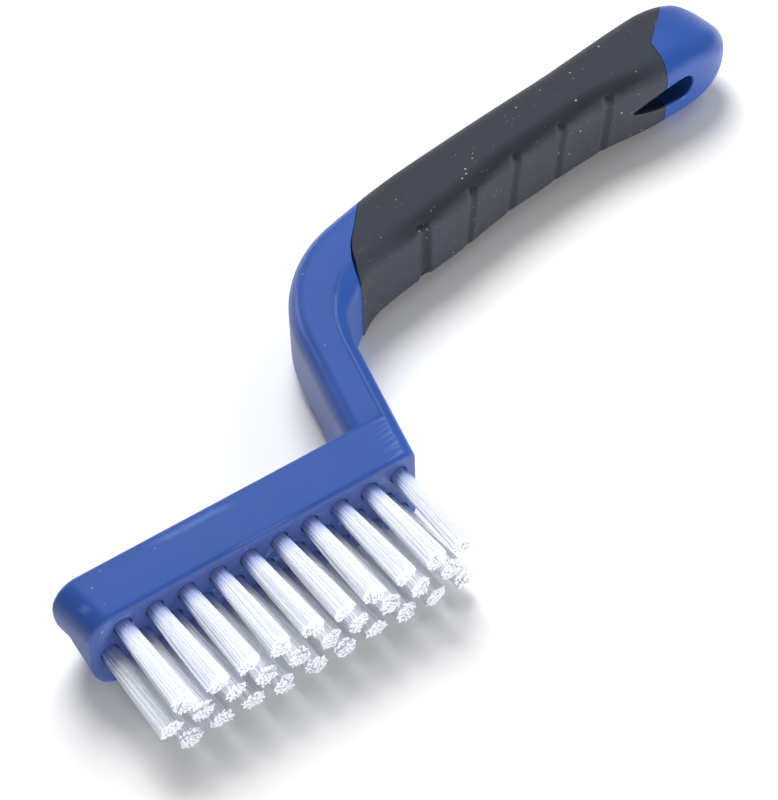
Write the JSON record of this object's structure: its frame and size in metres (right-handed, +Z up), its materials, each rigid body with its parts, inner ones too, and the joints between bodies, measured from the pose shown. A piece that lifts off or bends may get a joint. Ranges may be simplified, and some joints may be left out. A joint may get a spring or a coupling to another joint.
{
  "type": "grout brush",
  "caption": "Hand brush with a narrow row-tufted head, a cranked handle with a soft finger grip and a hanging slot.",
  "frame": {"origin": "middle of the base of the bounding box, with the brush lying on its side", "axes": "+X along the head from its free end to the handle's tip, the bristles point along -Y, +Z up, square to the side face it lies on"},
  "size_m": [0.2148, 0.106, 0.0194],
  "materials": {
    "body_plastic": "satin blue polypropylene",
    "grip_rubber": "matte charcoal elastomer",
    "bristle_nylon": "translucent white nylon",
    "anchor_metal": "drawn flat wire"
  },
  "bodies": {
    "root": {"handle_body": "body_plastic", "grip_sleeve": "grip_rubber", "anchors_row1": "anchor_metal", "anchors_row2": "anchor_metal", "anchors_row3": "anchor_metal", "tuft_row1_01": "bristle_nylon", "tuft_row1_02": "bristle_nylon", "tuft_row1_03": "bristle_nylon", "tuft_row1_04": "bristle_nylon", "tuft_row1_05": "bristle_nylon", "tuft_row1_06": "bristle_nylon", "tuft_row1_07": "bristle_nylon", "tuft_row1_08": "bristle_nylon", "tuft_row1_09": "bristle_nylon", "tuft_row1_10": "bristle_nylon", "tuft_row2_01": "bristle_nylon", "tuft_row2_02": "bristle_nylon", "tuft_row2_03": "bristle_nylon", "tuft_row2_04": "bristle_nylon", "tuft_row2_05": "bristle_nylon", "tuft_row2_06": "bristle_nylon", "tuft_row2_07": "bristle_nylon", "tuft_row2_08": "bristle_nylon", "tuft_row2_09": "bristle_nylon", "tuft_row2_10": "bristle_nylon", "tuft_row3_01": "bristle_nylon", "tuft_row3_02": "bristle_nylon", "tuft_row3_03": "bristle_nylon", "tuft_row3_04": "bristle_nylon", "tuft_row3_05": "bristle_nylon", "tuft_row3_06": "bristle_nylon", "tuft_row3_07": "bristle_nylon", "tuft_row3_08": "bristle_nylon", "tuft_row3_09": "bristle_nylon", "tuft_row3_10": "bristle_nylon"}
  },
  "joints": []
}
